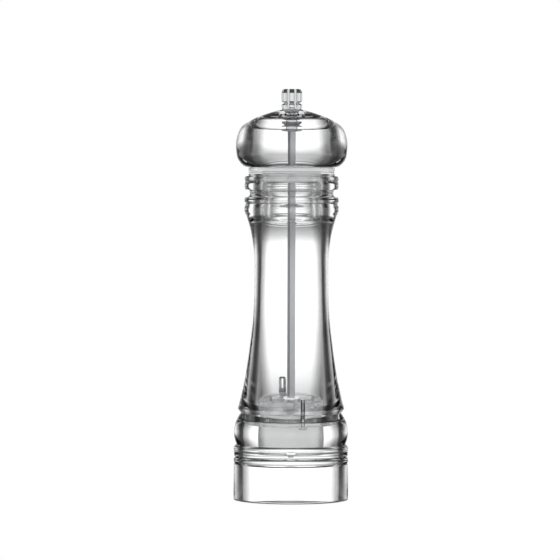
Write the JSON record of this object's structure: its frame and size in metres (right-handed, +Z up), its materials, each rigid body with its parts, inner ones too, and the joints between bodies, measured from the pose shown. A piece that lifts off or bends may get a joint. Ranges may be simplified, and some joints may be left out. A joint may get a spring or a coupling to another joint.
{
  "type": "pepper mill",
  "caption": "Clear turned table mill with a lift-off head, chrome finial knob, square spindle and conical burrs under a peppercorn chamber.",
  "frame": {"origin": "centre of the foot ring on the surface that the mill stands on", "axes": "+Z up the spindle, +X to the right and -Y to the front, as the mill is shown"},
  "size_m": [0.0584, 0.0584, 0.2078],
  "materials": {
    "clear_acrylic": "clear polished acrylic",
    "clear_plastic": "clear moulded plastic",
    "cloudy_plastic": "cloudy translucent moulded plastic",
    "housing_plastic": "frosted light grey moulded plastic",
    "nylon": "natural nylon",
    "ceramic": "white ceramic",
    "aluminium_bar": "drawn bar",
    "dark_steel": "dark plated steel",
    "bright_steel": "plated steel",
    "spring_steel": "spring wire",
    "chrome": "polished chrome plate",
    "brass": "turned brass"
  },
  "bodies": {
    "mill_body": {"body_shell": "clear_acrylic", "mill_housing": "housing_plastic", "bridge": "housing_plastic", "bridge_bush": "nylon", "stator_burr": "ceramic", "burr_retaining_ring": "bright_steel", "housing_screws": "dark_steel", "spring": "spring_steel"},
    "glide_ring": {"glide_ring": "cloudy_plastic"},
    "head": {"head_shell": "clear_acrylic", "head_plug": "clear_plastic", "plug_floor": "clear_plastic", "head_collar": "cloudy_plastic", "head_sleeve": "aluminium_bar", "sleeve_nut": "dark_steel", "drive_plate": "dark_steel"},
    "knob_washer": {"knob_washer": "bright_steel"},
    "knob": {"knob_shell": "chrome", "knob_insert": "brass"},
    "spring_seat": {"spring_seat": "nylon"},
    "spindle": {"spindle": "aluminium_bar", "rotor_burr": "ceramic", "spindle_washer": "bright_steel", "spindle_nut": "bright_steel"}
  },
  "joints": [
    {"name": "head_turn", "type": "hinge", "parent": "mill_body", "child": "glide_ring", "pos_m": [0, 0, 0.166], "axis": [0, 0, 1], "continuous": true},
    {"name": "head_lift", "type": "slide", "parent": "glide_ring", "child": "head", "axis": [0, 0, 1], "range_m": [0, 0.068]},
    {"name": "knob_lift", "type": "slide", "parent": "head", "child": "knob_washer", "axis": [0, 0, 1], "range_m": [0, 0.01]},
    {"name": "knob_turn", "type": "hinge", "parent": "knob_washer", "child": "knob", "pos_m": [0, 0, 0.2], "axis": [0, 0, 1], "range_deg": [0, 720]},
    {"name": "grind_gap", "type": "slide", "parent": "mill_body", "child": "spring_seat", "axis": [0, 0, 1], "range_m": [-0.001, 0], "deforming": ["spring"]},
    {"name": "spindle_turn", "type": "hinge", "parent": "spring_seat", "child": "spindle", "pos_m": [0, 0, 0.034], "axis": [0, 0, 1], "continuous": true}
  ],
  "couplings": [
    {"joint": "spindle_turn", "follows": "head_turn", "ratio": 1},
    {"joint": "knob_turn", "follows": "grind_gap", "rad_per_m": -12566}
  ]
}
